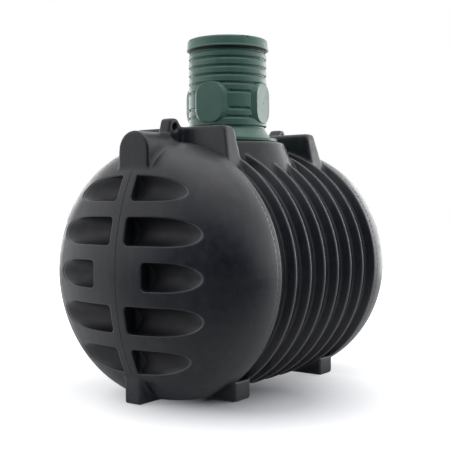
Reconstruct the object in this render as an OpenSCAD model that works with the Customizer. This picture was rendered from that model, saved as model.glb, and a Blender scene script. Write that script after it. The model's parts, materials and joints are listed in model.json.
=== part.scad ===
// Horizontal septic tank with ribbed barrel, domed ends, access turret and green riser.
// Units are millimetres. The long axis of the tank runs along Y, the riser rises along +Z,
// and the floor under the feet is Z = 0.

/* [Tank body] */
// Outside radius of the body over the rib crests
body_r = 900; // [870:5:930]
// Depth by which the round belly is flattened underneath
belly_flat = 48; // [40:2:56]
// Height of the flattened belly above the floor
belly_clear = 8; // [4:1:16]
// Wall thickness of the moulded shell
wall = 12; // [8:1:16]

/* [Ribbed barrel] */
// Number of grooves round the barrel
groove_count = 7; // [7:1:7]
// Distance from one rib crest to the next
groove_pitch = 187.5; // [184:0.5:190]
// Depth of a groove below the rib crests
groove_depth = 62; // [50:2:70]
// Radius of the rounded rib crest
crest_round = 14; // [13:0.5:16]
// Slope of the groove sides from the radial direction
groove_slope = 20; // [14:1:24]
// Width of the smooth band between the last groove and the domed end
band_w = 35; // [30:1:50]

/* [Domed ends] */
// Depth of the domed end from its rim to its crown
dome_depth = 555; // [550:5:560]
// Radius of the rounded shoulder of the domed end
shoulder_r = 455; // [455:5:465]

/* [Moulded pockets in the ends] */
// Height of one pocket
pocket_h = 186; // [176:2:196]
// Distance between two rows of pockets
pocket_pitch = 288; // [284:1:292]
// Height of the middle row above the body axis
pocket_rise = 6; // [0:1:10]
// Width of the plain spine between the left and the right pockets
spine_w = 114; // [100:2:130]
// Width of the plain field between the two pockets of the middle row
field_w = 408; // [390:2:430]
// Depth of the middle pockets behind the end face
pocket_d_mid = 137; // [125:1:145]
// Depth of the pockets next to the middle row behind the end face
pocket_d_next = 160; // [150:1:168]
// Depth of the top and bottom pockets behind the end face
pocket_d_outer = 200; // [190:1:210]
// Rounding between the floor and the inner end wall of a pocket
pocket_round = 44; // [36:2:50]
// Rounding of the inner corners of a pocket mouth
pocket_corner = 30; // [20:2:40]

/* [Top fins] */
// Width across the top of a fin
fin_w = 820; // [780:10:860]
// Height of the fin top above the body crown
fin_rise = 109; // [96:1:124]
// Distance from the tank middle to the inner face of a fin at its top
fin_in_y = 478; // [470:2:490]
// Thickness of a fin at its top
fin_t = 112; // [100:2:120]
// Slope of the outer face of a fin from upright
fin_out_slope = 9.5; // [6:0.5:12]
// Slope of the inner face of a fin from upright
fin_in_slope = 2.5; // [1:0.5:4]
// Slope of the ends of a fin from upright
fin_end_slope = 12.5; // [8:0.5:15]
// Rounding of the inner top edge of a fin
fin_edge = 46; // [36:2:52]
// Corner rounding at the top ends of a fin
fin_round = 34; // [24:2:44]

/* [Lifting lugs] */
// Thickness of a lug across the tank
lug_t = 98; // [90:2:110]
// Distance a lug stands out from the fin
lug_out = 162; // [150:2:176]
// Height of the lug top above the body crown
lug_rise = 162; // [150:1:176]
// Diameter of the lifting hole
lug_hole_d = 44; // [36:1:50]
// Depth of the lifting hole centre below the lug top
lug_hole_drop = 62; // [58:1:68]
// Corner rounding at the top of a lug
lug_round = 30; // [20:2:36]

/* [Inlet and outlet housings] */
// Width of a housing
housing_w = 264; // [250:2:280]
// Height of the housing top above the body crown
housing_rise = 57; // [46:1:68]
// Distance of the housing face behind the plain end face
housing_back = 181; // [170:1:192]

/* [Feet and keels] */
// Length of a cross foot over its ends
foot_w = 1060; // [1030:10:1080]
// Distance from the tank middle to the inner face of a foot
foot_in_y = 470; // [460:2:480]
// Thickness of a foot
foot_t = 182; // [170:2:194]
// Lower corner rounding of a foot
foot_round = 16; // [10:1:22]
// Width of a keel
keel_w = 138; // [130:2:150]
// Distance of the keel face behind the plain end face
keel_back = 160; // [148:2:172]
// Height of a keel at its face above the floor
keel_h = 180; // [170:2:190]

/* [Access turret] */
// Radius of the turret at its top
turret_r = 423; // [410:1:436]
// Height of the turret top above the body crown
turret_rise = 20; // [14:1:26]
// Slope of the turret side from upright
turret_slope = 22; // [16:1:26]
// Rounding of the turret top edge
turret_round = 20; // [12:1:26]
// Width of the lip that the access opening leaves inside the riser
access_lip = 7; // [2:1:12]

/* [Riser] */
// Outside radius of the riser over its rings
riser_r = 293; // [286:1:300]
// Distance the riser base flange stands out past the rings
flange_out = 82; // [73:1:91]
// Thickness of the riser base flange
flange_t = 25; // [20:1:30]
// Distance the foot of the base cone stands out past the rings
cone_out = 29; // [21:1:37]
// Height of the base cone from the flange to the lowest ring
cone_h = 88; // [82:1:94]
// Distance between two ring grooves
ring_pitch = 61.8; // [61:0.1:62.4]
// Number of rings on the riser
ring_count = 8; // [8:1:8]
// Number of the wide ring behind the pipe pads, counted from below
wide_ring = 3; // [3:1:3]
// Depth of a ring groove
ring_groove_d = 14; // [10:1:16]
// Height of the narrow part of a ring groove
ring_groove_h = 9; // [6:1:12]
// Height of the sloping shoulder of a ring below its groove
ring_shoulder = 18; // [12:1:24]
// Height of the plain neck between the last groove and the lid
neck_h = 73.6; // [68:0.4:78]
// Wall thickness of the riser
riser_wall = 10; // [8:1:14]
// Turn of the riser about its own axis against the tank
riser_turn = 9; // [0:1:15]

/* [Pipe pads] */
// Distance a pipe pad face stands out from the rings
pad_out = 4; // [3:1:8]
// Height of a pad face
pad_h = 290; // [280:2:296]
// Width of a pad face
pad_w = 214; // [204:2:222]
// Corner rounding of a pad face
pad_round = 92; // [80:2:98]
// Slope of the pad sides from the pad axis
pad_slope = 36; // [28:1:40]
// Depth of a pad into the riser
pad_depth = 62; // [56:2:66]
// Diameter of the centre mark of a pad
pad_mark_d = 14; // [10:1:18]

/* [Lid] */
// Distance the foot of the lid skirt stands out past the rings
lid_out = 15; // [10:1:19]
// Inward slope of the lid skirt over its height
lid_lean = 7; // [4:1:10]
// Height of the lid skirt
lid_h = 80; // [74:1:88]
// Edge rounding of the lid top
lid_round = 18; // [12:1:20]
// Thickness of the lid cover at its rim
lid_t = 22; // [20:1:26]
// Number of hand grips round the lid
grip_count = 4; // [4:1:4]
// Width of a grip notch in the lid rim
grip_w = 64; // [50:2:76]
// Depth of a grip notch into the lid rim
grip_d = 16; // [12:1:18]

/* [Hidden] */
$fn = 180;
eps = 1;
gap = 0.3;
body_axis_z = body_r + belly_clear - belly_flat;
crown_z = body_axis_z + body_r;
belly_z = belly_clear;
crown_r = (dome_depth*dome_depth + pow(body_r - shoulder_r, 2) - shoulder_r*shoulder_r)
          / (2*(dome_depth - shoulder_r));
barrel_half = groove_count*groove_pitch/2;
rim_y = barrel_half + band_w;
face_y = rim_y + dome_depth - eps;
crown_y = rim_y + dome_depth - crown_r;
root_z = body_axis_z + 0.66*body_r;
fin_top_z = crown_z + fin_rise;
fin_out_y = fin_in_y + fin_t;
lug_top_z = crown_z + lug_rise;
lug_hole_z = lug_top_z - lug_hole_drop;
housing_top_z = crown_z + housing_rise;
housing_y = face_y - housing_back;
housing_in_y = fin_out_y + lug_out;
foot_out_y = foot_in_y + foot_t;
keel_y = face_y - keel_back;
turret_top_z = crown_z + turret_rise;
turret_wall = wall + 2;
turret_foot_z = body_axis_z + 0.74*(body_r - groove_depth);
seal_t = 6;
riser_foot_z = turret_top_z + seal_t;
flange_top_z = riser_foot_z + flange_t;
first_ring_z = flange_top_z + cone_h + seal_t;
riser_in_r = riser_r - riser_wall - ring_groove_d;
access_r = riser_in_r - access_lip;
flange_r = riser_r + flange_out;
cone_r = riser_r + cone_out;
lid_r = riser_r + lid_out;
lid_foot_z = first_ring_z + ring_count*ring_pitch + neck_h;
lid_top_z = lid_foot_z + lid_h;
cover_z = lid_top_z - lid_t;
pad_z = first_ring_z + (wide_ring - 0.34)*ring_pitch;

// ---------- body profiles: x is the distance from the body axis, y runs along the tank ----------

function crest_y(i) = (i - groove_count/2)*groove_pitch;

// points from the middle of a crest down one side to the groove floor, shrunk by o;
// s is the side of the crest the points run down
function crest_side(yc, s, o) =
    let (a = groove_slope, r = max(crest_round - o, 1),
         tx = body_r - o - r + r*sin(a), ty = r*cos(a),
         fx = body_r - groove_depth - o)
    concat([for (t = [0:18:90 - a - 1]) [body_r - o - r + r*cos(t), yc + s*r*sin(t)]],
           [[tx, yc + s*ty]],
           [[fx + crest_round*0.7, yc + s*(ty + (tx - fx - crest_round*0.7)*tan(a))],
            [fx + crest_round*0.2, yc + s*(ty + (tx - fx)*tan(a) + crest_round*0.1)],
            [fx, yc + s*(ty + (tx - fx)*tan(a) + crest_round*0.7)]]);

function flip(v) = [for (i = [len(v) - 1:-1:0]) v[i]];

// solid outline of the barrel, shrunk by o and e longer at each end
module barrel_profile(o, e) {
    n = groove_count;
    polygon(concat(
        [[0, -rim_y - e], [body_r - o, -rim_y - e]],
        [for (i = [0:n - 1]) each concat(crest_side(crest_y(i), 1, o), flip(crest_side(crest_y(i + 1), -1, o)))],
        [[body_r - o, rim_y + e], [0, rim_y + e]]));
}

// solid outline of a domed end from its rim outwards, shrunk by o: rounded shoulder and wide crown
// with a small flat in its middle
module end_profile(o) {
    sx = body_r - shoulder_r;
    top = rim_y + 2*dome_depth;
    difference() {
        union() {
            intersection() {
                translate([sx, rim_y]) circle(shoulder_r - o);
                translate([0, rim_y - eps]) square([body_r + eps, dome_depth + eps]);
            }
            intersection() {
                translate([0, crown_y]) circle(crown_r - o);
                polygon([[0, rim_y - eps], [sx, rim_y - eps], [sx, rim_y],
                         [sx*(top - crown_y)/(rim_y - crown_y), top], [0, top]]);
            }
        }
        translate([-eps, face_y - o]) square([body_r, dome_depth]);
    }
}

// points along an arc about (cx, cy)
function arc(cx, cy, r, a0, a1, n = 8) =
    [for (i = [0:n]) let (a = a0 + (a1 - a0)*i/n) [cx + r*cos(a), cy + r*sin(a)]];

module along_y() { rotate([-90, 0, 0]) children(); }

module far_side() { mirror([0, 1, 0]) children(); }

// solid body of the barrel, shrunk by o and e longer at each end
module barrel_solid(o, e = 0) {
    difference() {
        translate([0, 0, body_axis_z]) along_y() rotate_extrude() barrel_profile(o, e);
        translate([-body_r, -rim_y - e - eps, belly_z + o - 2*body_r])
            cube([2*body_r, 2*(rim_y + e + eps), 2*body_r]);
    }
}

// solid body of the end at +Y, shrunk by o
module end_solid(o) {
    difference() {
        translate([0, 0, body_axis_z]) along_y() rotate_extrude() end_profile(o);
        translate([-body_r, rim_y - 2*eps, belly_z + o - 2*body_r])
            cube([2*body_r, dome_depth + 4*eps, 2*body_r]);
    }
}

// trough cut of one pocket at +Y and +X, grown by o; its inner end is rounded at the mouth and at the floor
module pocket_tool(row, o) {
    inner = (row == 0 ? field_w : spine_w)/2 - o;
    d = row == 0 ? pocket_d_mid : (abs(row) == 1 ? pocket_d_next : pocket_d_outer);
    r = pocket_h/2 + o;
    rc = pocket_corner + o;
    rf = pocket_round + o;
    out = d + 3*pocket_corner;
    yf = face_y - d - o;
    zc = body_axis_z + pocket_rise + row*pocket_pitch;
    intersection() {
        translate([inner - eps, yf + r, zc]) rotate([90, 0, 90]) linear_extrude(body_r) {
            circle(r);
            translate([0, -r]) square([out, 2*r]);
        }
        translate([0, yf + r + out, zc]) rotate([90, 0, 0]) linear_extrude(r + out + eps)
            polygon(concat(arc(inner + rc, rc - r, rc, 270, 180), arc(inner + rc, r - rc, rc, 180, 90),
                           [[body_r, r], [body_r, -r]]));
        translate([0, 0, zc - r - eps]) linear_extrude(2*(r + eps))
            polygon(concat([[inner, yf + 2*r + out]], arc(inner + rf, yf + rf, rf, 180, 270), [[body_r, yf], [body_r, yf + 2*r + out]]));
    }
}

module pockets(o) {
    for (s = [0, 1]) mirror([s, 0, 0]) for (row = [-2:2]) pocket_tool(row, o);
}

module end_shell() {
    difference() {
        end_solid(0);
        pockets(0);
        difference() {
            end_solid(wall);
            pockets(wall);
        }
    }
}

// ---------- nodes ----------

module barrel() {
    color("#3c3d40") difference() {
        barrel_solid(0);
        barrel_solid(wall, eps);
        translate([0, 0, body_axis_z]) cylinder(r = turret_r - 2*turret_wall, h = body_r + turret_rise);
    }
}

module far_end() { color("#3c3d40") end_shell(); }
module near_end() { color("#3c3d40") far_side() end_shell(); }

// body surface used to seat the fittings
module seat_body() {
    barrel_solid(-gap);
    end_solid(-gap);
}

// side view outline of a fin, grown by o: outer and inner face sloping, inner top edge rounded
module fin_block(w, o = 0) {
    h = fin_top_z - root_z;
    ro = fin_out_slope;
    ri = fin_in_slope;
    translate([-w/2, 0, 0]) rotate([90, 0, 90]) linear_extrude(w)
        polygon(concat([[fin_in_y - o - h*tan(ri), root_z]],
            arc(fin_in_y - o + fin_edge, fin_top_z + o - fin_edge, fin_edge, 180 - ri, 90),
            arc(fin_out_y + o - fin_round/3, fin_top_z + o - fin_round/3, fin_round/3, 90, ro, 4),
            [[fin_out_y + o + h*tan(ro), root_z]]));
}

// front view outline of a fin: sloping ends, rounded top corners
module fin_front() {
    h = fin_top_z - root_z;
    x = fin_w/2 - fin_round;
    z = fin_top_z - fin_round;
    e = fin_w/2 + h*tan(fin_end_slope);
    a = fin_end_slope;
    translate([0, fin_out_y + h, 0]) rotate([90, 0, 0]) linear_extrude(fin_t + 2*h)
        polygon(concat([[-e, root_z]], arc(-x, z, fin_round, 180 - a, 90), arc(x, z, fin_round, 90, a), [[e, root_z]]));
}

module fin() {
    difference() {
        intersection() {
            fin_block(2*fin_w);
            fin_front();
        }
        seat_body();
    }
}

module far_fin() { color("#3f4043") fin(); }
module near_fin() { color("#3f4043") far_side() fin(); }

// side view outline of a lug: upright back with a shoulder on the fin top, rounded head
module lug() {
    y0 = fin_out_y;
    y1 = housing_in_y - gap;
    back = lug_out/9;
    head = y0 + 2.6*back;
    difference() {
        translate([-lug_t/2, 0, 0]) rotate([90, 0, 90]) linear_extrude(lug_t)
            polygon(concat([[y0 + gap, root_z], [y0 + gap, fin_top_z], [y0 + back, fin_top_z]],
                arc(head + lug_round, lug_top_z - lug_round, lug_round, 150, 90),
                arc(y1 - back - lug_round, lug_top_z - lug_round, lug_round, 90, 10),
                [[y1, fin_top_z - 2*back], [y1, root_z]]));
        translate([-lug_t, y0 + lug_out/2 + lug_hole_d/4, lug_hole_z]) rotate([0, 90, 0])
            cylinder(d = lug_hole_d, h = 2*lug_t);
        seat_body();
        fin_block(2*lug_t, gap);
    }
}

module far_lug() { color("#3f4043") lug(); }
module near_lug() { color("#3f4043") far_side() lug(); }

// box of a housing with a half round top
module housing() {
    r = housing_w/2;
    difference() {
        translate([0, housing_in_y, housing_top_z - r]) rotate([-90, 0, 0]) linear_extrude(housing_y - housing_in_y) {
            circle(r);
            translate([-r, 0]) square([2*r, housing_top_z - root_z]);
        }
        seat_body();
    }
}

module far_housing() { color("#3e3f42") housing(); }
module near_housing() { color("#3e3f42") far_side() housing(); }

module foot() {
    difference() {
        translate([-foot_w/2, 0, 0]) rotate([90, 0, 90]) linear_extrude(foot_w)
            translate([foot_in_y, 0]) {
                translate([0, foot_round]) square([foot_t, foot_top_z() - foot_round]);
                translate([foot_round, 0]) square([foot_t - 2*foot_round, foot_top_z()]);
                translate([foot_round, foot_round]) circle(foot_round);
                translate([foot_t - foot_round, foot_round]) circle(foot_round);
            }
        seat_body();
    }
}

// height of the foot ends, a little above the line where the round body meets them
function foot_top_z() = body_axis_z - sqrt(body_r*body_r - foot_w*foot_w/4) + foot_round/3;

module far_foot() { color("#3d3e41") foot(); }
module near_foot() { color("#3d3e41") far_side() foot(); }

module keel() {
    difference() {
        translate([-keel_w/2, foot_out_y + gap, 0]) cube([keel_w, keel_y - foot_out_y - gap, keel_h]);
        seat_body();
    }
}

module far_keel() { color("#3d3e41") keel(); }
module near_keel() { color("#3d3e41") far_side() keel(); }

module turret() {
    color("#3f4043") difference() {
        turret_outer(0);
        difference() {
            turret_outer(turret_wall);
            translate([0, 0, turret_top_z - turret_wall]) cylinder(r = 2*turret_r, h = 2*turret_wall);
        }
        translate([0, 0, turret_foot_z - turret_wall]) cylinder(r = access_r, h = turret_top_z - turret_foot_z + 2*turret_wall);
        seat_body();
    }
}

// solid outline of the turret, shrunk by o, with a rounded top edge
module turret_outer(o) {
    h = turret_top_z - turret_foot_z;
    rt = turret_r - o/cos(turret_slope);
    a = turret_slope;
    rotate_extrude()
        polygon(concat([[0, turret_foot_z - o], [rt + (h + o)*tan(a), turret_foot_z - o]],
            arc(rt - turret_round*(1 - sin(a))/cos(a), turret_top_z - turret_round, turret_round, a, 90, 5),
            [[0, turret_top_z]]));
}

module joint_ring() {
    color("#1d1e20") difference() {
        translate([0, 0, turret_top_z]) cylinder(r = flange_r - 2*seal_t, h = seal_t);
        translate([0, 0, turret_top_z - eps]) cylinder(r = access_r + 2*seal_t, h = 2*seal_t);
    }
}

module riser_flange() {
    c = flange_t/8;
    color("#4c6659") rotate_extrude() polygon([[riser_in_r, riser_foot_z], [flange_r - c, riser_foot_z],
        [flange_r, riser_foot_z + c], [flange_r - c/2, flange_top_z - c],
        [flange_r - 2*c, flange_top_z], [riser_in_r, flange_top_z]]);
}

module riser_cone() {
    ct = riser_r - ring_groove_d;
    color("#4c6659") rotate_extrude() polygon([
        [riser_in_r, flange_top_z], [cone_r + cone_h/6, flange_top_z],
        [cone_r + cone_h/50, flange_top_z + cone_h/12], [cone_r - (cone_r - ct)*0.36, flange_top_z + cone_h*0.36],
        [cone_r - (cone_r - ct)*0.44, flange_top_z + cone_h*0.38],
        [ct, flange_top_z + cone_h*0.86],
        [ct, flange_top_z + cone_h], [riser_in_r, flange_top_z + cone_h]]);
}

function ring_z(i) = first_ring_z + i*ring_pitch;

// solid outline of the ribbed riser, grown by o: each ring has a sharp lower lip over a groove
// and a sloping shoulder at its top
module riser_outline(o) {
    z0 = flange_top_z + cone_h;
    r = riser_r + o;
    rg = riser_r - ring_groove_d + o;
    h = ring_groove_h/2;
    polygon(concat([[0, z0], [r - ring_groove_d/2, z0], [r, z0 + seal_t]],
        [for (i = [1:ring_count]) if (i != wide_ring) each [
            [r, ring_z(i) - h - ring_shoulder], [r - ring_groove_d/4, ring_z(i) - h - ring_shoulder/2], [rg, ring_z(i) - h],
            [rg, ring_z(i) + h], [r, ring_z(i) + h + ring_groove_d/7]]],
        [[r, lid_foot_z - neck_h/2], [rg, lid_foot_z - neck_h/3], [rg, cover_z], [0, cover_z]]));
}

module riser_tube() {
    color("#4c6659") rotate_extrude() difference() {
        riser_outline(0);
        translate([-eps, 0]) square([riser_in_r + eps, 2*lid_top_z]);
    }
}

// pad face outline, o wider on every side
module pad_face(o) {
    r = pad_round + o;
    x = pad_w/2 + o - r;
    y = pad_h/2 + o - r;
    polygon(concat(arc(x, y, r, 0, 90, 6), arc(-x, y, r, 90, 180, 6), arc(-x, -y, r, 180, 270, 6), arc(x, -y, r, 270, 360, 6)));
}

// flat pad with sloping sides that stands on the rings
module pad() {
    face = riser_r + pad_out;
    spread = pad_depth*tan(pad_slope);
    difference() {
        translate([0, pad_depth - face, pad_z]) rotate([90, 0, 0]) hull() {
            linear_extrude(eps) pad_face(spread);
            translate([0, 0, pad_depth - eps]) linear_extrude(eps) pad_face(0);
        }
        rotate_extrude() riser_outline(2*gap);
        translate([0, 0, flange_top_z]) cylinder(r = riser_r - ring_groove_d, h = cone_h + 2*eps);
        translate([0, -face - eps, pad_z]) rotate([-90, 0, 0]) cylinder(d = pad_mark_d, h = 2*eps, $fn = 24);
    }
}

module pad_near() { color("#4c6659") rotate([0, 0, riser_turn]) pad(); }
module pad_right() { color("#4c6659") rotate([0, 0, riser_turn + 90]) pad(); }
module pad_far() { color("#4c6659") rotate([0, 0, riser_turn + 180]) pad(); }
module pad_left() { color("#4c6659") rotate([0, 0, riser_turn + 270]) pad(); }

module lid_skirt() {
    c = lid_h/16;
    ri = riser_r - ring_groove_d + 2*gap;
    color("#4c6659") rotate_extrude() polygon([
        [ri, lid_foot_z + c], [lid_r - c, lid_foot_z], [lid_r, lid_foot_z + c/2], [lid_r, lid_foot_z + 2*c],
        [lid_r - lid_lean*0.6, lid_foot_z + 3*c], [lid_r - lid_lean, cover_z], [ri, cover_z]]);
}

module lid_cover() {
    rr = lid_r - lid_lean;
    ri = riser_in_r - 2*lid_t;
    color("#4c6659") difference() {
        rotate_extrude() polygon(concat(
            [[0, cover_z + lid_t/2], [ri, cover_z + lid_t/2], [ri, cover_z], [rr, cover_z]],
            arc(rr - lid_round, lid_top_z - lid_round, lid_round, 0, 90, 6), [[0, lid_top_z]]));
        grip_places() translate([-grip_w/2, -lid_r, cover_z + lid_t/3]) cube([grip_w, grip_d + lid_lean, lid_t]);
    }
}

module grip_places() {
    for (i = [0:grip_count - 1]) rotate([0, 0, riser_turn + 53 + i*360/grip_count]) children();
}

module lid_gasket() {
    color("#17181a") difference() {
        translate([0, 0, lid_foot_z - neck_h/5]) cylinder(r = riser_r - seal_t, h = neck_h/5);
        translate([0, 0, lid_foot_z - neck_h/3]) cylinder(r = riser_r - ring_groove_d + 2*gap, h = neck_h);
    }
}

// hand grip bar in each notch of the lid rim
module lid_grips() {
    color("#4c6659") grip_places()
        translate([-grip_w/6, lid_round/2 - lid_r + lid_lean, cover_z + lid_t/3])
            cube([grip_w/3, grip_d - lid_round/2, lid_t/2]);
}

barrel();
near_end();
far_end();
turret();
near_fin();
far_fin();
near_lug();
far_lug();
near_housing();
far_housing();
near_foot();
far_foot();
near_keel();
far_keel();
joint_ring();
riser_flange();
riser_cone();
riser_tube();
pad_near();
pad_left();
pad_far();
pad_right();
lid_cover();
lid_skirt();
lid_gasket();
lid_grips();
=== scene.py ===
"""Dresses the horizontal septic tank: moulded black body, green access riser, studio."""

import json
import logging
import math
from dataclasses import dataclass, replace
from enum import Enum
from typing import Iterable, Sequence

import bmesh
import bpy
import numpy as np
from mathutils import Matrix, Vector
from mathutils.bvhtree import BVHTree

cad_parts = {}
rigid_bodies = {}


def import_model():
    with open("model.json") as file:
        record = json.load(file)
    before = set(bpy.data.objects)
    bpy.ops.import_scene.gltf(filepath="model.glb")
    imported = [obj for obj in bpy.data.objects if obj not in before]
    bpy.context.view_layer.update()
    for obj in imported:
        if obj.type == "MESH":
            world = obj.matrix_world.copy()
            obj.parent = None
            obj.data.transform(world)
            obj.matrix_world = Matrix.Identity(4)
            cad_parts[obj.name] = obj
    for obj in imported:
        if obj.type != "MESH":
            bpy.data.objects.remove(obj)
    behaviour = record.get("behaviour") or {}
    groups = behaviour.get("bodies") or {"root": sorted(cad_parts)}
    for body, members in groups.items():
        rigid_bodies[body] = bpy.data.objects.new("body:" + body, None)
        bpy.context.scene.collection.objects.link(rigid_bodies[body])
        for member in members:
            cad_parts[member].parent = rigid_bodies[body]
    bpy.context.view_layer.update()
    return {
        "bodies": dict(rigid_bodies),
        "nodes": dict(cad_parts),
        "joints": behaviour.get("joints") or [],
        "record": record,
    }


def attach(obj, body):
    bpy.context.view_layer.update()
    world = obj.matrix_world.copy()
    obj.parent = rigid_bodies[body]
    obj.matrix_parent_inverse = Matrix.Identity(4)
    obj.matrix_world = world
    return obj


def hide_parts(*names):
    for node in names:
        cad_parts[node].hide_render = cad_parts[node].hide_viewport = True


LOG = logging.getLogger("septic_tank")

RGB = tuple[float, float, float]
Point = tuple[float, float, float]
Span = tuple[float, float]
Value = bpy.types.NodeSocket | float
Paint = bpy.types.NodeSocket | RGB

WHITE: RGB = (1.0, 1.0, 1.0)
AXIS_Z = 0.860  # height of the body axis over the floor, in metres


# --------------------------------------------------------------------------- finishes


class Slot(Enum):
    """Material slots of the record that a piece takes its finish from."""

    TANK = "tank_black"
    RISER = "riser_green"
    SEAL = "seal_rubber"


class Effect(Enum):
    """Shared shader groups."""

    SKIN = "moulded_skin"
    EDGE = "rounded_edge"
    DUST = "settled_dust"
    END = "end_form"
    RIB = "rib_form"


class NodeCanvas:
    """Small helper that adds and links nodes in one node tree."""

    MIX_INPUTS = (0, 6, 7)  # factor, first and second colour of a colour mix
    MIX_OUTPUT = 2

    def __init__(self, tree: bpy.types.NodeTree) -> None:
        """Keep the tree that nodes are added to."""
        self.tree = tree

    def node(self, kind: str, **settings: object) -> bpy.types.Node:
        """Add a node and set its attributes.

        Args:
            kind: Blender's type name of the node.
            settings: attribute names and values set on the node.

        Returns:
            The new node.
        """
        made = self.tree.nodes.new(kind)
        for name, value in settings.items():
            setattr(made, name, value)
        return made

    def link(self, source: bpy.types.NodeSocket, target: bpy.types.NodeSocket) -> None:
        """Join two sockets."""
        self.tree.links.new(source, target)

    def noise(self, vector: bpy.types.NodeSocket, scale: float, detail: float = 3.0,
              roughness: float = 0.55) -> bpy.types.NodeSocket:
        """Add a noise texture.

        Args:
            vector: where the noise is read.
            scale: number of cells in a metre.
            detail: octaves of the noise.
            roughness: strength of the fine octaves.

        Returns:
            The grey value of the noise.
        """
        made = self.node("ShaderNodeTexNoise")
        made.inputs["Scale"].default_value = scale
        made.inputs["Detail"].default_value = detail
        made.inputs["Roughness"].default_value = roughness
        self.link(vector, made.inputs["Vector"])
        return made.outputs["Fac"]

    def ramp(self, source: bpy.types.NodeSocket, low: float, high: float,
             to_low: float = 0.0, to_high: float = 1.0) -> bpy.types.NodeSocket:
        """Map one range of a value onto another, clamped.

        Args:
            source: value to map.
            low: input that gives to_low.
            high: input that gives to_high.
            to_low: output at low.
            to_high: output at high.

        Returns:
            The mapped value.
        """
        made = self.node("ShaderNodeMapRange", clamp=True)
        made.inputs["From Min"].default_value = low
        made.inputs["From Max"].default_value = high
        made.inputs["To Min"].default_value = to_low
        made.inputs["To Max"].default_value = to_high
        self.link(source, made.inputs["Value"])
        return made.outputs["Result"]

    def maths(self, operation: str, first: Value, second: Value = 0.0) -> bpy.types.NodeSocket:
        """Add a maths node whose inputs are sockets or numbers.

        Args:
            operation: Blender's name of the operation.
            first: first socket or number.
            second: second socket or number.

        Returns:
            The result socket.
        """
        made = self.node("ShaderNodeMath", operation=operation)
        for index, value in enumerate((first, second)):
            self._feed(value, made.inputs[index])
        return made.outputs["Value"]

    def times(self, first: Value, second: Value) -> bpy.types.NodeSocket:
        """Multiply two values."""
        return self.maths("MULTIPLY", first, second)

    def facing(self, vector: bpy.types.NodeSocket, aim: Sequence[float]) -> bpy.types.NodeSocket:
        """Measure how far a direction looks towards an aim.

        Args:
            vector: unit direction.
            aim: the direction it is compared with, of any length.

        Returns:
            The cosine of the angle between them.
        """
        made = self.node("ShaderNodeVectorMath", operation="DOT_PRODUCT")
        self.link(vector, made.inputs[0])
        made.inputs[1].default_value = Vector(aim).normalized()
        return made.outputs["Value"]

    def blend(self, factor: Value, first: Paint, second: Paint) -> bpy.types.NodeSocket:
        """Mix two colours.

        Args:
            factor: socket or number from 0 to 1.
            first: colour at factor 0.
            second: colour at factor 1.

        Returns:
            The mixed colour.
        """
        made = self.node("ShaderNodeMix", data_type="RGBA")
        for index, value in zip(self.MIX_INPUTS, (factor, first, second)):
            self._feed((*value, 1.0) if isinstance(value, tuple) else value, made.inputs[index])
        return made.outputs[self.MIX_OUTPUT]

    def _feed(self, value: object, socket: bpy.types.NodeSocket) -> None:
        """Link a socket to an input, or set the input to a plain value.

        Args:
            value: socket, number or RGBA colour.
            socket: the input.
        """
        if isinstance(value, bpy.types.NodeSocket):
            self.link(value, socket)
        else:
            socket.default_value = value


@dataclass(frozen=True)
class RibForm:
    """Form of the ribbed barrel that its painted crest highlight follows, in metres."""

    crest: Span = (0.890, 0.898)
    outer_ribs: Span = (0.60, 0.56)


@dataclass(frozen=True)
class EndForm:
    """Form of the domed end that its painted pocket shade, painted lip highlight and parting line follow, in
    metres.
    """

    crown_r: float = 1.4951
    crown_y: float = -0.2489
    shoulder_r: float = 0.455
    shoulder_x: float = 0.445
    pocket: Span = (0.006, 0.045)
    lip_outer: Span = (0.0032, 0.005)
    lip_inner: Span = (0.014, 0.008)
    seam_width: Span = (0.0040, 0.0020)
    seam_depth: Span = (0.004, 0.002)
    marked_r: Span = (0.845, 0.80)

    @property
    def join_r(self) -> float:
        """Radius at which the crown runs into the shoulder."""
        return self.shoulder_x * self.crown_r / (self.crown_r - self.shoulder_r)

    @property
    def join_rise(self) -> float:
        """Rise of the shoulder arc at that radius."""
        return math.sqrt(self.shoulder_r ** 2 - (self.join_r - self.shoulder_x) ** 2)


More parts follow.
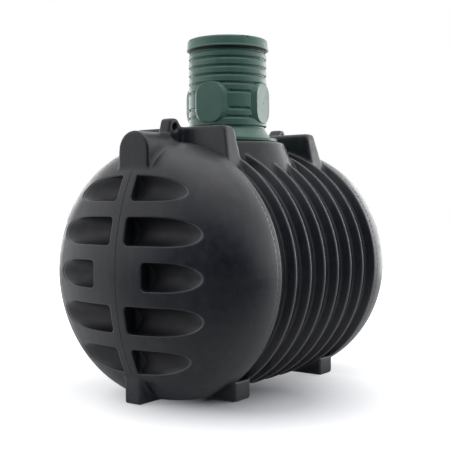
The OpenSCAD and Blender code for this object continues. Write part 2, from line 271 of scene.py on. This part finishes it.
class EffectLibrary:
    """Builds each shared shader group once and hands it out."""

    def __init__(self) -> None:
        """Start with no groups built."""
        self._made: dict[Effect, bpy.types.NodeTree] = {}

    def get(self, effect: Effect) -> bpy.types.NodeTree:
        """Return the group of one effect, building it on first use.

        Args:
            effect: which group.

        Returns:
            The shader node group.
        """
        if effect not in self._made:
            makers = {Effect.SKIN: self._skin, Effect.EDGE: self._edge, Effect.DUST: self._dust,
                      Effect.END: self._end, Effect.RIB: self._rib}
            self._made[effect] = makers[effect]()
        return self._made[effect]

    def place(self, c: NodeCanvas, effect: Effect, knob: str | None = None,
              setting: float = 0.0) -> bpy.types.NodeOutputs:
        """Place one effect in a material.

        Args:
            c: canvas of the material.
            effect: which group.
            knob: name of an input to set.
            setting: what the input is set to.

        Returns:
            The outputs of the placed group, by name.
        """
        made = c.node("ShaderNodeGroup", node_tree=self.get(effect))
        if knob is not None:
            made.inputs[knob].default_value = setting
        return made.outputs

    @staticmethod
    def _group(effect: Effect, inputs: Sequence[tuple[str, str, float]], outputs: Sequence[tuple[str, str]],
               ) -> tuple[bpy.types.NodeTree, bpy.types.Node, bpy.types.Node]:
        """Make an empty group with named sockets.

        Args:
            effect: which group it is.
            inputs: name, socket type and default value of each input.
            outputs: name and socket type of each output.

        Returns:
            The group, its input node and its output node.
        """
        tree = bpy.data.node_groups.new(effect.value, "ShaderNodeTree")
        for name, kind, value in inputs:
            made = tree.interface.new_socket(name=name, in_out="INPUT", socket_type=kind)
            if kind == "NodeSocketFloat":
                made.default_value = value
        for name, kind in outputs:
            tree.interface.new_socket(name=name, in_out="OUTPUT", socket_type=kind)
        return tree, tree.nodes.new("NodeGroupInput"), tree.nodes.new("NodeGroupOutput")

    def _skin(self) -> bpy.types.NodeTree:
        """Build the moulded skin: fine grain, soft waviness, cloudy colour, streaks and mottling.

        Returns:
            Group with Grain, Cloud, Streak and Mottle values.
        """
        tree, given, out = self._group(
            Effect.SKIN,
            [("Grain Scale", "NodeSocketFloat", 420.0), ("Cloud Scale", "NodeSocketFloat", 3.0)],
            [("Grain", "NodeSocketFloat"), ("Cloud", "NodeSocketFloat"), ("Streak", "NodeSocketFloat"),
             ("Mottle", "NodeSocketFloat")])
        c = NodeCanvas(tree)
        where = c.node("ShaderNodeTexCoord").outputs["Object"]
        fine = c.node("ShaderNodeTexNoise")
        fine.inputs["Detail"].default_value = 4.0
        c.link(where, fine.inputs["Vector"])
        c.link(given.outputs["Grain Scale"], fine.inputs["Scale"])
        wave = c.noise(where, 9.0, 2.0)
        grain = c.maths("ADD", c.times(fine.outputs["Fac"], 0.35), c.times(wave, 0.65))
        c.link(grain, out.inputs["Grain"])
        cloud = c.node("ShaderNodeTexNoise")
        cloud.inputs["Detail"].default_value = 5.0
        cloud.inputs["Roughness"].default_value = 0.6
        c.link(where, cloud.inputs["Vector"])
        c.link(given.outputs["Cloud Scale"], cloud.inputs["Scale"])
        c.link(c.ramp(cloud.outputs["Fac"], 0.3, 0.7), out.inputs["Cloud"])
        c.link(c.ramp(c.noise(where, 17.0, 3.0, 0.6), 0.35, 0.68), out.inputs["Mottle"])
        squeeze = c.node("ShaderNodeMapping")
        squeeze.inputs["Scale"].default_value = (14.0, 14.0, 0.9)
        c.link(where, squeeze.inputs["Vector"])
        c.link(c.ramp(c.noise(squeeze.outputs["Vector"], 1.0, 4.0), 0.5, 0.75), out.inputs["Streak"])
        return tree

    def _edge(self) -> bpy.types.NodeTree:
        """Build the moulded edge: a rounded normal and a mask along convex edges, where the finishes paint a
        highlight.

        Returns:
            Group with Normal and Mask.
        """
        tree, given, out = self._group(
            Effect.EDGE, [("Radius", "NodeSocketFloat", 0.01)],
            [("Normal", "NodeSocketVector"), ("Mask", "NodeSocketFloat")])
        c = NodeCanvas(tree)
        bevel = c.node("ShaderNodeBevel", samples=8)
        c.link(given.outputs["Radius"], bevel.inputs["Radius"])
        c.link(bevel.outputs["Normal"], out.inputs["Normal"])
        dot = c.node("ShaderNodeVectorMath", operation="DOT_PRODUCT")
        c.link(c.node("ShaderNodeNewGeometry").outputs["Normal"], dot.inputs[0])
        c.link(bevel.outputs["Normal"], dot.inputs[1])
        c.link(c.ramp(dot.outputs["Value"], 0.995, 0.86), out.inputs["Mask"])
        return tree

    def _dust(self) -> bpy.types.NodeTree:
        """Build the dust that settles on faces that look up.

        Returns:
            Group with a Mask.
        """
        tree, given, out = self._group(
            Effect.DUST, [("Amount", "NodeSocketFloat", 0.3)], [("Mask", "NodeSocketFloat")])
        c = NodeCanvas(tree)
        up = c.node("ShaderNodeSeparateXYZ")
        c.link(c.node("ShaderNodeNewGeometry").outputs["Normal"], up.inputs["Vector"])
        where = c.node("ShaderNodeTexCoord").outputs["Object"]
        level = c.ramp(up.outputs["Z"], 0.35, 0.95)
        cloud = c.ramp(c.noise(where, 11.0, 5.0), 0.35, 0.7)
        c.link(c.times(c.times(level, cloud), given.outputs["Amount"]), out.inputs["Mask"])
        return tree


    @staticmethod
    def _where(c: NodeCanvas) -> tuple[bpy.types.NodeSocket, ...]:
        """Measure where a point of the round body lies.

        Args:
            c: canvas of the group that asks.

        Returns:
            Distance from the upright middle plane, distance along the axis, and radius from the axis.
        """
        where = c.node("ShaderNodeSeparateXYZ")
        c.link(c.node("ShaderNodeTexCoord").outputs["Object"], where.inputs["Vector"])
        x, y, z = (where.outputs[axis] for axis in "XYZ")
        up = c.maths("SUBTRACT", z, AXIS_Z)
        radius = c.maths("SQRT", c.maths("ADD", c.times(x, x), c.times(up, up)))
        return c.maths("ABSOLUTE", x), c.maths("ABSOLUTE", y), radius

    def _end(self) -> bpy.types.NodeTree:
        """Build the masks that follow the form of a domed end: painted shade in the pockets, a painted
        highlight on their lips, and the parting line.

        Returns:
            Group with Pocket, Rim and Parting masks.
        """
        masks = [(name, "NodeSocketFloat") for name in ("Pocket", "Rim", "Parting")]
        tree, _, out = self._group(Effect.END, [], masks)
        c = NodeCanvas(tree)
        form = EndForm()
        aside, along, radius = self._where(c)
        inner = c.maths("MINIMUM", radius, form.join_r)
        crown = c.maths("SQRT", c.maths("SUBTRACT", form.crown_r ** 2, c.times(inner, inner)))
        outer = c.maths("SUBTRACT", c.maths("MAXIMUM", radius, form.join_r), form.shoulder_x)
        rest = c.maths("MAXIMUM", c.maths("SUBTRACT", form.shoulder_r ** 2, c.times(outer, outer)), 0.0)
        drop = c.maths("SUBTRACT", c.maths("SQRT", rest), form.join_rise)
        dome = c.maths("ADD", c.maths("ADD", crown, form.crown_y), drop)
        depth = c.maths("SUBTRACT", dome, along)
        inside = c.ramp(radius, *form.marked_r)
        lip = c.times(c.ramp(depth, *form.lip_outer), c.ramp(depth, *form.lip_inner))
        seam = c.times(c.ramp(aside, *form.seam_width), c.ramp(depth, *form.seam_depth))
        c.link(c.times(c.ramp(depth, *form.pocket), inside), out.inputs["Pocket"])
        c.link(c.times(lip, inside), out.inputs["Rim"])
        c.link(seam, out.inputs["Parting"])
        return tree

    def _rib(self) -> bpy.types.NodeTree:
        """Build the mask of the rib crests, along which a highlight is painted.

        Returns:
            Group with a Crest mask.
        """
        tree, _, out = self._group(Effect.RIB, [], [("Crest", "NodeSocketFloat")])
        c = NodeCanvas(tree)
        form = RibForm()
        _, along, radius = self._where(c)
        c.link(c.times(c.ramp(radius, *form.crest), c.ramp(along, *form.outer_ribs)), out.inputs["Crest"])
        return tree


@dataclass(frozen=True)
class MouldedPlastic:
    """Finish of a moulded polyethylene skin."""

    name: str
    base: RGB
    # pale: lighter tone of the plastic for its mottling and streaks, also used for the painted highlights on
    # edges, rib crests and pocket lips
    pale: RGB
    deep: RGB
    roughness: float
    edge_radius: float
    # share of pale colour painted along the edges as a highlight
    edge_highlight: float
    dust: float = 0.06
    dust_colour: RGB = (0.32, 0.31, 0.29)
    specular: float = 0.5
    grain_scale: float = 420.0
    grain_depth: float = 0.0012
    grain_strength: float = 0.6
    mottle: float = 0.07
    streak: float = 0.12
    # share of pale colour painted as a highlight along the rib crests
    crest_highlight: float = 0.0
    end_marks: bool = False
    # painted shade: dark colour laid into the end pockets
    pocket_shade: RGB = (0.003, 0.0032, 0.0045)
    pocket_dull: float = 0.20
    # share of pale colour painted as a highlight along the pocket lips
    rim_highlight: float = 0.7
    parting_colour: RGB = (0.002, 0.002, 0.0025)
    parting_dull: float = 0.4
    parting_height: float = 1.5

    def build(self, effects: EffectLibrary) -> bpy.types.Material:
        """Build the material.

        Args:
            effects: library of the shared shader groups.

        Returns:
            The finished material.
        """
        made = bpy.data.materials.new(self.name)
        made.use_nodes = True
        c = NodeCanvas(made.node_tree)
        bsdf = made.node_tree.nodes["Principled BSDF"]
        bsdf.inputs["Specular IOR Level"].default_value = self.specular
        skin = effects.place(c, Effect.SKIN, "Grain Scale", self.grain_scale)
        edge = effects.place(c, Effect.EDGE, "Radius", self.edge_radius)
        dust = effects.place(c, Effect.DUST, "Amount", self.dust)
        layers: list[tuple[bpy.types.NodeSocket, float, RGB]] = [
            (skin["Mottle"], self.mottle, self.pale), (skin["Streak"], self.streak, self.pale),
            # painted highlight: pale colour along the edges
            (edge["Mask"], self.edge_highlight, self.pale), (dust["Mask"], 1.0, self.dust_colour)]
        rough = c.ramp(skin["Cloud"], 0.0, 1.0, self.roughness + 0.06, self.roughness - 0.05)
        rough = c.maths("ADD", rough, c.ramp(skin["Mottle"], 0.0, 1.0, -0.04, 0.05))
        rough = c.maths("ADD", rough, c.times(dust["Mask"], 0.25))
        height = skin["Grain"]
        # painted highlight: pale colour along the rib crests
        if self.crest_highlight:
            layers.append((effects.place(c, Effect.RIB)["Crest"], self.crest_highlight, self.pale))
        # painted shade in the end pockets, a painted highlight along the pocket lips, and the dark parting
        # line
        if self.end_marks:
            marks = effects.place(c, Effect.END)
            layers += [(marks["Pocket"], 1.0, self.pocket_shade), (marks["Rim"], self.rim_highlight, self.pale),
                       (marks["Parting"], 1.0, self.parting_colour)]
            rough = c.maths("ADD", rough, c.times(marks["Pocket"], self.pocket_dull))
            rough = c.maths("ADD", rough, c.times(marks["Parting"], self.parting_dull))
            height = c.maths("ADD", height, c.times(marks["Parting"], self.parting_height))
        colour = c.blend(skin["Cloud"], self.deep, self.base)
        for mask, share, paint in layers:
            colour = c.blend(c.times(mask, share), colour, paint)
        c.link(colour, bsdf.inputs["Base Color"])
        c.link(rough, bsdf.inputs["Roughness"])
        bump = c.node("ShaderNodeBump")
        bump.inputs["Distance"].default_value = self.grain_depth
        bump.inputs["Strength"].default_value = self.grain_strength
        c.link(height, bump.inputs["Height"])
        c.link(edge["Normal"], bump.inputs["Normal"])
        c.link(bump.outputs["Normal"], bsdf.inputs["Normal"])
        return made


@dataclass(frozen=True)
class SealRubber:
    """Finish of a black rubber seal."""

    name: str = "seal_rubber"
    base: RGB = (0.012, 0.012, 0.013)
    pale: RGB = (0.03, 0.03, 0.032)
    roughness: float = 0.62
    grain_scale: float = 900.0
    grain_depth: float = 0.0005

    def build(self, effects: EffectLibrary) -> bpy.types.Material:
        """Build the material.

        Args:
            effects: library of the shared shader groups.

        Returns:
            The finished material.
        """
        made = bpy.data.materials.new(self.name)
        made.use_nodes = True
        c = NodeCanvas(made.node_tree)
        bsdf = made.node_tree.nodes["Principled BSDF"]
        skin = effects.place(c, Effect.SKIN, "Grain Scale", self.grain_scale)
        c.link(c.blend(skin["Cloud"], self.base, self.pale), bsdf.inputs["Base Color"])
        c.link(c.ramp(skin["Grain"], 0.2, 0.8, self.roughness - 0.1, self.roughness + 0.1),
               bsdf.inputs["Roughness"])
        bump = c.node("ShaderNodeBump")
        bump.inputs["Distance"].default_value = self.grain_depth
        c.link(skin["Grain"], bump.inputs["Height"])
        c.link(bump.outputs["Normal"], bsdf.inputs["Normal"])
        return made


# --------------------------------------------------------------------------- object


class Dresser:
    """Gives CAD nodes and new pieces their materials."""

    def __init__(self, frame: dict) -> None:
        """Build the finishes.
        """
        self.nodes: dict[str, bpy.types.Object] = frame["nodes"]
        effects = EffectLibrary()
        black = MouldedPlastic(
            "moulded_black", base=(0.0135, 0.0145, 0.0185), pale=(0.11, 0.11, 0.112),
            deep=(0.0095, 0.0102, 0.014), roughness=0.34, edge_radius=0.012, edge_highlight=0.35)
        green = MouldedPlastic(
            "moulded_green", base=(0.086, 0.183, 0.138), pale=(0.175, 0.29, 0.235),
            deep=(0.068, 0.156, 0.116), roughness=0.36, edge_radius=0.005, edge_highlight=0.3)
        # the end finish paints shade into the pockets and a highlight on their lips; the ribbed finish paints
        # a highlight along the rib crests
        end = replace(black, name="moulded_black_end", edge_radius=0.015, edge_highlight=0.4, end_marks=True)
        ribbed = replace(black, name="moulded_black_ribbed", edge_highlight=0.2, crest_highlight=0.6)
        self.end_skin = end.build(effects)
        self.ribbed_skin = ribbed.build(effects)
        self.materials = {Slot.TANK: black.build(effects), Slot.RISER: green.build(effects),
                          Slot.SEAL: SealRubber().build(effects)}

    def finish(self, piece: bpy.types.Object, slot: Slot) -> bpy.types.Object:
        """Give a new piece its finish and let it ride on the tank.

        Args:
            piece: the new piece.
            slot: which finish.

        Returns:
            The same piece.
        """
        piece.data.materials.clear()
        piece.data.materials.append(self.materials[slot])
        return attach(piece, "root")

    def dress(self, names: Iterable[str], slot: Slot, paint: bpy.types.Material | None = None) -> None:
        """Put one finish on CAD nodes.

        Args:
            names: CAD node names.
            slot: which finish.
            paint: material used instead of the slot's usual one.
        """
        for name in names:
            piece = self.nodes[name]
            piece.data.materials.clear()
            piece.data.materials.append(paint or self.materials[slot])
            LOG.info("dressed %s with %s", name, slot.value)


def mesh_arrays(piece: bpy.types.Object) -> tuple[np.ndarray, list[tuple[int, ...]]]:
    """Read the points and faces of a piece.

    Args:
        piece: a mesh object whose points are in the row frame.

    Returns:
        Points as an array of three columns, and the corner indices of each face.
    """
    points = np.empty(len(piece.data.vertices) * 3, float)
    piece.data.vertices.foreach_get("co", points)
    return points.reshape(-1, 3), [tuple(face.vertices) for face in piece.data.polygons]


def joined_mesh(nodes: dict[str, bpy.types.Object],
                names: Iterable[str]) -> tuple[list[Point], list[tuple[int, ...]]]:
    """Read several CAD nodes as one mesh.

    Args:
        nodes: CAD nodes by name.
        names: which of them.

    Returns:
        Points and faces of all of them.
    """
    points: list[Point] = []
    faces: list[tuple[int, ...]] = []
    for name in names:
        some, corners = mesh_arrays(nodes[name])
        faces += [tuple(c + len(points) for c in corner) for corner in corners]
        points += [tuple(p) for p in some]
    return points, faces


def new_piece(name: str, points: Sequence, faces: Sequence) -> bpy.types.Object:
    """Make a smooth-shaded mesh object and link it to the scene.

    Args:
        name: name of the piece.
        points: its points.
        faces: corner indices of its faces.

    Returns:
        The new object.
    """
    mesh = bpy.data.meshes.new(name)
    mesh.from_pydata([tuple(map(float, point)) for point in points], [], [tuple(face) for face in faces])
    mesh.polygons.foreach_set("use_smooth", [True] * len(mesh.polygons))
    mesh.update()
    made = bpy.data.objects.new(name, mesh)
    bpy.context.scene.collection.objects.link(made)
    return made


@dataclass
class BodySurface:
    """The outer skin of the tank body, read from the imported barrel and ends."""

    nodes: dict[str, bpy.types.Object]
    skins: tuple[str, ...] = ("barrel", "near_end", "far_end")
    floor_z: float = 0.008
    half_length: float = 1.20
    step: float = 0.003
    outside: float = 1.5
    plain_r: float = 0.5
    turn_step: float = 0.5

    def __post_init__(self) -> None:
        """Read the outline of the body along its length, on the plain land between two pocket rows."""
        self.tree = BVHTree.FromPolygons(*joined_mesh(self.nodes, self.skins))
        ray = Vector((-1.0, 0.0, -1.0)).normalized()
        self.along = np.arange(-self.half_length, self.half_length + 0.0001, self.step)
        radii = []
        for y in self.along:
            hit = self.tree.ray_cast(Vector((0.0, y, AXIS_Z)) - ray * self.outside, ray)[0]
            radii.append(math.hypot(hit.x, hit.z - AXIS_Z) if hit is not None else self.plain_r)
        self.radii = np.array(radii)

    def block(self, span: Span, turn: Span, depth: float = 0.10) -> tuple[list[Point], list[tuple[int, ...]]]:
        """Make a closed block under one stretch of the skin.

        Args:
            span: lowest and highest Y of the stretch.
            turn: first and last angle about the body axis, in degrees from +X towards +Z.
            depth: thickness of the block under its deepest groove.

        Returns:
            Points and faces of the block.
        """
        keep = (self.along >= span[0]) & (self.along <= span[1])
        ys, outer = self.along[keep], self.radii[keep]
        inner = np.full(len(ys), outer.min() - depth)
        angles = np.radians(np.arange(turn[0], turn[1] + 0.01, self.turn_step))
        points: list[Point] = []
        for radii in (outer, inner):
            for angle in angles:
                for y, r in zip(ys, radii):
                    z = AXIS_Z + r * math.sin(angle)
                    points.append((r * math.cos(angle), y, max(z, self.floor_z)))
        wide, long = len(angles), len(ys)
        shift = wide * long
        faces = []
        for a in range(wide - 1):
            for b in range(long - 1):
                c = a * long + b
                faces.append((c, c + 1, c + long + 1, c + long))
                faces.append((shift + c, shift + c + long, shift + c + long + 1, shift + c + 1))
        for a in range(wide - 1):
            for b, flip in ((0, False), (long - 1, True)):
                c = a * long + b
                side = (c, c + long, c + long + shift, c + shift)
                faces.append(side[::-1] if flip else side)
        for b in range(long - 1):
            for a, flip in ((0, True), (wide - 1, False)):
                c = a * long + b
                side = (c, c + 1, c + 1 + shift, c + shift)
                faces.append(side if flip else side[::-1])
        return points, faces


@dataclass
class MouldedBlend:
    """A fitting that grows out of the body with soft fillets, as one moulding."""

    name: str
    parts: tuple[str, ...]
    span: Span
    turn: Span
    voxel: float = 0.0055
    quick_voxel: float = 1.6
    reach: float = 0.034
    crop: float = 1.3
    fade: float = 0.55
    passes: int = 22
    quick_passes: int = 7
    sink: float = 0.0012

    def build(self, surface: BodySurface, dresser: Dresser) -> bpy.types.Object:
        """Fuse the CAD parts with the skin under them, round every edge and fillet every corner.

        Args:
            surface: the skin that the fitting stands on.
            dresser: source of the finish.

        Returns:
            The moulded piece, which stands for its CAD parts.
        """
        points, faces = surface.block(self.span, self.turn)
        fitting_points, fitting_faces = joined_mesh(surface.nodes, self.parts)
        start = len(points)
        rough = new_piece(self.name + "_rough", points + fitting_points,
                          faces + [tuple(c + start for c in corner) for corner in fitting_faces])
        fuse = rough.modifiers.new("fuse", "REMESH")
        fuse.mode = "VOXEL"
        fuse.voxel_size = self.voxel * 1.0
        fused = bpy.data.meshes.new_from_object(rough.evaluated_get(bpy.context.evaluated_depsgraph_get()))
        bpy.data.objects.remove(rough)
        made = self._soften(fused, BVHTree.FromPolygons(fitting_points, fitting_faces), surface)
        bpy.data.meshes.remove(fused)
        dresser.finish(made, Slot.TANK)
        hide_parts(*self.parts)
        LOG.info("%s: %d faces, stands for %s", self.name, len(made.data.polygons), ", ".join(self.parts))
        return made

    def _soften(self, fused: bpy.types.Mesh, fitting: BVHTree, surface: BodySurface) -> bpy.types.Object:
        """Smooth the fused mesh near the fitting and tuck its skirt under the skin.

        Args:
            fused: the fused mesh.
            fitting: search tree of the fitting alone.
            surface: the skin that the skirt dies into.

        Returns:
            The new piece.
        """
        raw = np.empty(len(fused.vertices) * 3, float)
        fused.vertices.foreach_get("co", raw)
        raw = raw.reshape(-1, 3)
        corners = np.empty(len(fused.loops), int)
        fused.loops.foreach_get("vertex_index", corners)
        quads = corners.reshape(-1, 4)
        far = 2 * self.reach
        away = np.array([hit[3] if (hit := fitting.find_nearest(p, far))[0] is not None else far
                         for p in map(Vector, raw)])
        quads = quads[(away[quads] < self.reach * self.crop).all(axis=1)]
        used = np.unique(quads)
        index = np.full(len(raw), -1)
        index[used] = np.arange(len(used))
        quads, raw, away = index[quads], raw[used], away[used]
        soft = self._relax(raw, quads)
        weight = np.clip((self.reach - away) / (self.reach * self.fade), 0.0, 1.0)
        weight = weight * weight * (3 - 2 * weight)
        tucked = raw.copy()
        for i in np.nonzero(weight < 0.999)[0]:
            place, normal, _, _ = surface.tree.find_nearest(Vector(raw[i]))
            tucked[i] = place - normal * self.sink
        final = tucked + (soft - tucked) * weight[:, None]
        return new_piece(self.name, final, quads.tolist())

    def _relax(self, points: np.ndarray, quads: np.ndarray) -> np.ndarray:
        """Average each point with its neighbours, pass by pass.

        Args:
            points: points of the mesh.
            quads: its faces.

        Returns:
            The relaxed points.
        """
        edges = np.concatenate([quads[:, [k, (k + 1) % 4]] for k in range(4)])
        edges = np.unique(np.sort(edges, axis=1), axis=0)
        one, two = edges[:, 0], edges[:, 1]
        count = np.bincount(one, minlength=len(points)) + np.bincount(two, minlength=len(points))
        moved = points.copy()
        for _ in range(self.passes):
            total = np.stack([np.bincount(one, moved[two, k], len(points)) +
                              np.bincount(two, moved[one, k], len(points)) for k in range(3)], axis=1)
            moved = 0.5 * moved + 0.5 * total / count[:, None]
        return moved


@dataclass
class TankBody:
    """The moulded black tank."""

    dresser: Dresser
    barrel: tuple[str, ...] = ("barrel",)
    ends: tuple[str, ...] = ("near_end", "far_end")
    top: tuple[str, ...] = ("fin", "lug", "housing")
    base: tuple[str, ...] = ("foot", "keel")
    turret_span: Span = (-0.62, 0.62)
    turret_turn: Span = (42.0, 138.0)
    top_span: Span = (0.36, 1.16)
    top_turn: Span = (48.0, 132.0)
    base_span: Span = (0.36, 1.19)
    base_turn: Span = (228.0, 312.0)

    def build(self) -> None:
        """Dress the skins and mould the fittings into them."""
        self.dresser.dress(self.barrel, Slot.TANK, self.dresser.ribbed_skin)
        self.dresser.dress(self.ends, Slot.TANK, self.dresser.end_skin)
        surface = BodySurface(self.dresser.nodes)
        blends = [MouldedBlend("turret_moulding", ("turret",), self.turret_span, self.turret_turn)]
        for side, sign in (("near", -1.0), ("far", 1.0)):
            blends.append(self._fitting(side, sign, "top", self.top, self.top_span, self.top_turn))
            blends.append(self._fitting(side, sign, "foot", self.base, self.base_span, self.base_turn))
        for blend in blends:
            blend.build(surface, self.dresser)

    @staticmethod
    def _fitting(side: str, sign: float, kind: str, parts: Iterable[str], span: Span,
                 turn: Span) -> MouldedBlend:
        """Describe the moulding of one group of fittings at one end.

        Args:
            side: near or far.
            sign: direction of that end along Y.
            kind: word that names the moulding.
            parts: names of its CAD parts without the side.
            span: nearest and farthest distance from the middle of the tank.
            turn: first and last angle about the body axis.

        Returns:
            The moulding, not built yet.
        """
        low, high = sorted((sign * span[0], sign * span[1]))
        nodes = tuple(f"{side}_{part}" for part in parts)
        return MouldedBlend(f"{side}_{kind}_moulding", nodes, (low, high), turn)


@dataclass
class Riser:
    """The green access riser with its lid."""

    dresser: Dresser
    green: tuple[str, ...] = ("riser_flange", "riser_cone", "riser_tube", "pad_near", "pad_left", "pad_far",
                              "pad_right", "lid_cover", "lid_skirt", "lid_grips")
    seals: tuple[str, ...] = ("joint_ring", "lid_gasket")

    def build(self) -> None:
        """Dress the riser and its seals."""
        self.dresser.dress(self.green, Slot.RISER)
        self.dresser.dress(self.seals, Slot.SEAL)


@dataclass(frozen=True)
class Lamp:
    """One square soft lamp, in metres and watts."""

    name: str
    place: Point
    aim: Point
    size: float
    power: float

    def hang(self) -> None:
        """Hang the lamp in the scene."""
        light = bpy.data.lights.new(self.name, "AREA")
        light.shape = "SQUARE"
        light.size = self.size
        light.energy = self.power
        lamp = bpy.data.objects.new(self.name, light)
        lamp.location = self.place
        lamp.visible_camera = False
        lamp.rotation_euler = (Vector(self.aim) - Vector(self.place)).to_track_quat("-Z", "Y").to_euler()
        bpy.context.scene.collection.objects.link(lamp)


@dataclass
class Studio:
    """Pale floor, backdrop, soft lamps and the camera."""

    eye: Point = (3.94514, -5.39901, 1.34613)
    look: Point = (-0.592599, 0.805045, -0.027008)
    roll: float = -0.0036
    lens: float = 70.44
    sensor: float = 36.0
    floor_half: float = 40.0
    floor_z: float = -0.001
    floor_seen: RGB = (0.72, 0.72, 0.73)
    floor_cloud: tuple[RGB, RGB] = ((0.70, 0.70, 0.71), (0.76, 0.76, 0.77))
    # painted shade: floor colour seen in bounce light and reflections, dimmed towards the opening
    floor_dim: RGB = (0.12, 0.12, 0.13)
    floor_dim_span: Span = (0.9, 2.6)
    floor_lift: float = 0.06
    # centre, half sizes and fade of the ellipse round the tank where the floor's glow to the eye fades into a
    # painted shadow
    painted_shadow_mid: Span = (0.6, -0.5)
    painted_shadow_half: Span = (0.95, 0.95)
    painted_shadow_fade: Span = (0.35, 1.15)
    far_glow_span: Span = (1.6, 4.2)
    glow_near: float = 0.5
    glow_far: float = 0.6
    opening: Point = (0.64, -0.766, 0.07)
    opening_edge: Span = (0.42, 0.74)
    opening_tall: float = 0.42
    opening_tint: RGB = (0.28, 0.45, 1.0)
    tent: float = 1.0
    tent_dim: float = 0.075
    tent_tint: RGB = (0.985, 0.992, 1.0)
    bright_side: Point = (0.28, 0.95, 0.05)
    bright_edge: Span = (0.45, 0.95)
    bright_gain: float = 0.62
    lamps: tuple[Lamp, ...] = (
        Lamp("lamp_top", (0.7, -0.4, 6.6), (0.0, 0.0, 1.4), 4.6, 52.0),
        Lamp("lamp_rim_right", (1.2, 6.6, 1.5), (0.5, 0.4, 0.9), 4.4, 140.0),
        Lamp("lamp_rim_left", (-5.2, 1.6, 2.0), (-0.4, -0.6, 1.0), 3.0, 52.0))

    def build(self) -> None:
        """Build everything round the tank."""
        self._floor()
        self._world()
        for lamp in self.lamps:
            lamp.hang()
        self._camera()

    def _floor(self) -> None:
        """Lay a large pale floor that glows white to the eye, with its cast shadow and a painted shadow where
        the glow fades out round the tank.
        """
        mesh = bpy.data.meshes.new("studio_floor")
        made = bmesh.new()
        bmesh.ops.create_grid(made, x_segments=8, y_segments=8, size=self.floor_half)
        made.to_mesh(mesh)
        made.free()
        mesh.materials.append(self._floor_paint())
        floor = bpy.data.objects.new("studio_floor", mesh)
        bpy.context.scene.collection.objects.link(floor)
        floor.location = (0.0, 0.0, self.floor_z)

    def _floor_paint(self) -> bpy.types.Material:
        """Build the floor's finish: pale and faintly cloudy, with painted shade towards the opening in bounce
        light and reflections, and a glow to the eye that is white far out and fades to a painted shadow round
        the tank.

        Returns:
            The finished material.
        """
        paint = bpy.data.materials.new("studio_floor")
        paint.use_nodes = True
        c = NodeCanvas(paint.node_tree)
        bsdf = paint.node_tree.nodes["Principled BSDF"]
        bsdf.inputs["Roughness"].default_value = 0.9
        bsdf.inputs["Specular IOR Level"].default_value = 0.0
        bsdf.inputs["Emission Color"].default_value = (*WHITE, 1.0)
        where = c.node("ShaderNodeTexCoord").outputs["Object"]
        seen = c.node("ShaderNodeLightPath").outputs["Is Camera Ray"]
        outside = c.node("ShaderNodeVectorMath", operation="DOT_PRODUCT")
        c.link(where, outside.inputs[0])
        outside.inputs[1].default_value = (self.opening[0], self.opening[1], 0.0)
        cloud = c.ramp(c.noise(where, 0.7, 3.0), 0.3, 0.7)
        # painted shade towards the opening, for rays that do not come from the eye
        unseen = c.blend(c.ramp(outside.outputs["Value"], *self.floor_dim_span),
                         c.blend(cloud, *self.floor_cloud), self.floor_dim)
        c.link(c.blend(seen, unseen, self.floor_seen), bsdf.inputs["Base Color"])
        squeeze = c.node("ShaderNodeMapping")
        for axis, (middle, half) in enumerate(zip(self.painted_shadow_mid, self.painted_shadow_half)):
            squeeze.inputs["Location"].default_value[axis] = -middle / half
            squeeze.inputs["Scale"].default_value[axis] = 1.0 / half
        squeeze.inputs["Scale"].default_value[2] = 0.0
        c.link(where, squeeze.inputs["Vector"])
        span = c.node("ShaderNodeVectorMath", operation="LENGTH")
        c.link(squeeze.outputs["Vector"], span.inputs[0])
        # painted shadow: the glow to the eye is zero near the tank and rises outwards; a second ramp whitens
        # the floor far out
        glow = c.maths("ADD", c.ramp(span.outputs["Value"], *self.painted_shadow_fade, 0.0, self.glow_near),
                       c.ramp(span.outputs["Value"], *self.far_glow_span, 0.0, self.glow_far))
        c.link(c.blend(seen, (self.floor_lift,) * 3, glow), bsdf.inputs["Emission Strength"])
        return paint

    def _world(self) -> None:
        """Set a white tent round the object with a dim opening behind the viewer's place."""
        world = bpy.data.worlds.new("studio_sky")
        bpy.context.scene.world = world
        world.use_nodes = True
        c = NodeCanvas(world.node_tree)
        sky = world.node_tree.nodes["Background"]
        seen = c.node("ShaderNodeLightPath").outputs["Is Camera Ray"]
        where = c.node("ShaderNodeTexCoord").outputs["Generated"]
        stretch = c.node("ShaderNodeMapping")
        stretch.inputs["Scale"].default_value = (1.0, 1.0, 1.0 / self.opening_tall)
        c.link(where, stretch.inputs["Vector"])
        level = c.node("ShaderNodeVectorMath", operation="NORMALIZE")
        c.link(stretch.outputs["Vector"], level.inputs[0])
        closed = c.ramp(c.facing(level.outputs["Vector"], self.opening), *self.opening_edge, 1.0, 0.0)
        bright = c.ramp(c.facing(where, self.bright_side), *self.bright_edge, 0.0, self.bright_gain)
        tent = c.maths("ADD", c.times(c.maths("ADD", bright, self.tent), closed), self.tent_dim)
        tint = c.blend(closed, self.opening_tint, self.tent_tint)
        c.link(c.blend(seen, tent, WHITE), sky.inputs["Strength"])
        c.link(c.blend(seen, tint, WHITE), sky.inputs["Color"])

    def _camera(self) -> None:
        """Set the camera at the viewing angle."""
        data = bpy.data.cameras.new("view")
        data.lens = self.lens
        data.sensor_width = self.sensor
        data.clip_end = 200.0
        camera = bpy.data.objects.new("view", data)
        turn = Vector(self.look).to_track_quat("-Z", "Y").to_matrix().to_4x4()
        camera.matrix_world = Matrix.Translation(self.eye) @ turn @ Matrix.Rotation(self.roll, 4, "Z")
        bpy.context.scene.collection.objects.link(camera)
        bpy.context.scene.camera = camera


def main() -> None:
    """Load the frame, dress it and set the studio."""
    logging.basicConfig(level=logging.INFO, format="%(name)s: %(message)s")
    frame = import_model()
    dresser = Dresser(frame)
    TankBody(dresser).build()
    Riser(dresser).build()
    Studio().build()
    bpy.context.scene.view_settings.view_transform = "Standard"


if __name__ == "__main__":
    main()
